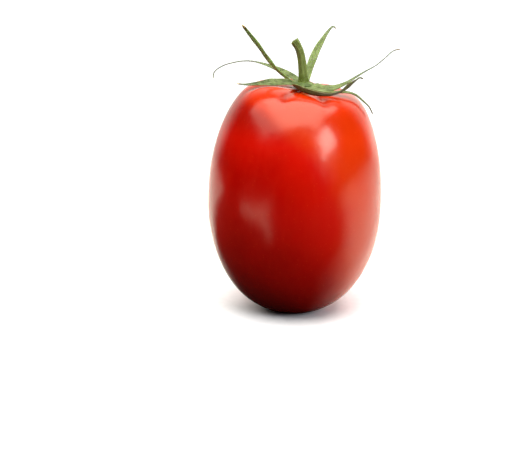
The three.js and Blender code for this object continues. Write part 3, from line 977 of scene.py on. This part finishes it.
def make_sheet_material():
    material, tree = new_material("white_paper")
    place = tree.nodes.new("ShaderNodeTexCoord").outputs["Object"]
    parts = add_node(tree, "ShaderNodeSeparateXYZ", {"Vector": place})
    forward = combine(tree, "MULTIPLY", parts.outputs["Y"], -1.0)
    bearing = combine(tree, "ARCTAN2", parts.outputs["X"], forward)
    bearing = combine(tree, "DEGREES", bearing, 0.0)
    reach = add_node(tree, "ShaderNodeVectorMath", {0: place}, operation="LENGTH")
    reach = reach.outputs["Value"]
    left = combine(tree, "SUBTRACT", bearing, ramp(
        tree, reach, *GAP_WIDENING, GAP_LEFT_NEAR, GAP_LEFT_FAR))
    gap = combine(tree, "MINIMUM", ramp(tree, left, -GAP_EDGE, GAP_EDGE), ramp(
        tree, bearing, GAP_RIGHT + GAP_EDGE, GAP_RIGHT - GAP_EDGE))
    gap = combine(tree, "MULTIPLY", gap, ramp(tree, reach, *GAP_START, 0, GAP_LIGHT))
    gap = combine(tree, "MULTIPLY", gap, ramp(tree, reach, *GAP_END))
    left = combine(tree, "SUBTRACT", bearing, ramp(
        tree, reach, *CARDS_WIDENING, CARDS_LEFT_NEAR, CARDS_LEFT_FAR))
    softened = ramp(tree, reach, *FOOT_REACH, FOOT_EDGE, 0)
    edge = combine(tree, "ADD", softened, CARD_EDGE)
    from_left = ramp(tree, left, combine(tree, "MULTIPLY", edge, -1.0), edge)
    edge = combine(tree, "ADD", softened, CARD_EDGE_RIGHT)
    from_right = ramp(tree, bearing, combine(tree, "ADD", edge, CARDS_RIGHT),
                      combine(tree, "SUBTRACT", CARDS_RIGHT, edge))
    # Painted shade: the sheet is dark in front of the fruit for mirrored and scattered light,
    # lighter in the gap
    painted_shade = combine(tree, "MINIMUM", from_left, from_right)
    painted_shade = combine(tree, "SUBTRACT", painted_shade, gap)
    seen = tree.nodes.new("ShaderNodeLightPath").outputs["Is Camera Ray"]
    mirrored = blend_colours(tree, painted_shade, PAPER_MIRRORED, PAINTED_SHADE_BLACK)
    fibre = add_node(tree, "ShaderNodeTexNoise", {"Vector": place, "Scale": FIBRE_SCALE})
    fibres = ramp(tree, fibre.outputs["Fac"], *FIBRE_EDGE)
    paper = blend_colours(tree, fibres, PAPER_WHITE, PAPER_DULL)
    shader = add_node(tree, "ShaderNodeBsdfPrincipled", {
        "Base Color": blend_colours(tree, seen, mirrored, paper),
        "Roughness": 0.8,
        "Specular IOR Level": 0.2,
    })
    finish_material(tree, shader)
    return material


def make_sheet():
    corners = [(-SHEET_SIDE, SHEET_FRONT, 0), (SHEET_SIDE, SHEET_FRONT, 0),
               (SHEET_SIDE, SHEET_BACK, 0), (-SHEET_SIDE, SHEET_BACK, 0)]
    mesh = bpy.data.meshes.new("white_sheet")
    mesh.from_pydata(corners, [], [(0, 1, 2, 3)])
    piece = bpy.data.objects.new("white_sheet", mesh)
    bpy.context.scene.collection.objects.link(piece)
    piece.data.materials.append(make_sheet_material())


make_sheet()

# Each light's place and the point it faces, its width and height, and its watts, tint and roll
OVERHEAD_TINT = (1.0, 0.98, 0.95)
FRONT_TINT = (0.9, 0.92, 1.0)
SOFT_LIGHTS = {
    "overhead": ((-0.3, -0.37, 0.91), (-0.3, -0.37, 0), (1.88, 1.3), 22, OVERHEAD_TINT, 0),
    "overhead_middle": ((0.07, -0.38, 0.9), (0.07, -0.38, 0), (1.15, 1.28), 13, OVERHEAD_TINT, 0),
    "front_right": ((0.63, -0.68, 0.465), (0, 0, 0.06), (0.37, 0.34), 5.3, FRONT_TINT, 25),
}


def add_soft_light(name, place, target, size, power, tint, roll):
    data = bpy.data.lights.new(name, "AREA")
    data.shape = "RECTANGLE"
    data.size, data.size_y = size
    data.energy = power
    data.color = tint
    lamp = bpy.data.objects.new(name, data)
    lamp.location = place
    facing = (Vector(target) - Vector(place)).to_track_quat("-Z", "Y")
    lamp.rotation_euler = (facing @ Quaternion((0, 0, 1), math.radians(roll))).to_euler()
    lamp.visible_camera = False
    bpy.context.scene.collection.objects.link(lamp)


for light_name, settings in SOFT_LIGHTS.items():
    add_soft_light(light_name, *settings)

SURROUND_LEFT = 1.1
SURROUND_RIGHT = 1.7
SURROUND_SIDES = (-0.4, 0.4)
SURROUND_EDGE = (0.48, 0.8)
RISING_SIDES = (-0.1, 0.1)
RISING_SHARE = 0.25
SURROUND_WHITE = (1, 1, 1)
SURROUND_WARM = (1, 0.96, 0.86)


def make_surround():
    """White behind, brighter to the right, dark in front, and white where the camera looks."""
    world = bpy.data.worlds.new("white_surround")
    bpy.context.scene.world = world
    world.use_nodes = True
    tree = world.node_tree
    tree.nodes.clear()
    way = tree.nodes.new("ShaderNodeTexCoord").outputs["Generated"]
    parts = add_node(tree, "ShaderNodeSeparateXYZ", {"Vector": way})
    rise = ramp(tree, parts.outputs["X"], *RISING_SIDES, 0, RISING_SHARE)
    rise = combine(tree, "MULTIPLY", parts.outputs["Z"], rise)
    behind = ramp(tree, combine(tree, "ADD", parts.outputs["Y"], rise), *SURROUND_EDGE)
    side = ramp(tree, parts.outputs["X"], *SURROUND_SIDES, SURROUND_LEFT, SURROUND_RIGHT)
    strength = combine(tree, "MULTIPLY", behind, side)
    seen = tree.nodes.new("ShaderNodeLightPath").outputs["Is Camera Ray"]
    strength = combine(tree, "MAXIMUM", strength, seen)
    light = add_node(tree, "ShaderNodeBackground", {
        "Color": blend_colours(tree, seen, SURROUND_WARM, SURROUND_WHITE), "Strength": strength,
    })
    output = tree.nodes.new("ShaderNodeOutputWorld")
    tree.links.new(light.outputs["Background"], output.inputs["Surface"])


make_surround()

# Camera
# The camera stands 0.6 m away and 15 degrees above the level of the fruit's waist, and aims
# beside the fruit, so that the fruit stands right of the middle as it does in the photograph.
CAMERA_DISTANCE = 600 * MM
CAMERA_ELEVATION = math.radians(15)
FRAME_WIDTH_PIXELS = 508
FOCAL_PIXELS = 1787
SENSOR_WIDTH = 36
NEAREST_SEEN = 10 * MM
AIM = Vector((-13.5, -2.3, 29.7)) * MM


def make_camera():
    data = bpy.data.cameras.new("camera")
    data.sensor_width = SENSOR_WIDTH
    data.lens = FOCAL_PIXELS * SENSOR_WIDTH / FRAME_WIDTH_PIXELS
    data.clip_start = NEAREST_SEEN
    camera = bpy.data.objects.new("camera", data)
    back = Vector((0, -math.cos(CAMERA_ELEVATION), math.sin(CAMERA_ELEVATION)))
    camera.location = Vector((0, 0, WAIST_LEVEL * MM)) + back * CAMERA_DISTANCE
    camera.rotation_euler = (AIM - camera.location).to_track_quat("-Z", "Y").to_euler()
    bpy.context.scene.collection.objects.link(camera)
    bpy.context.scene.camera = camera


make_camera()
bpy.context.scene.view_settings.view_transform = "Standard"
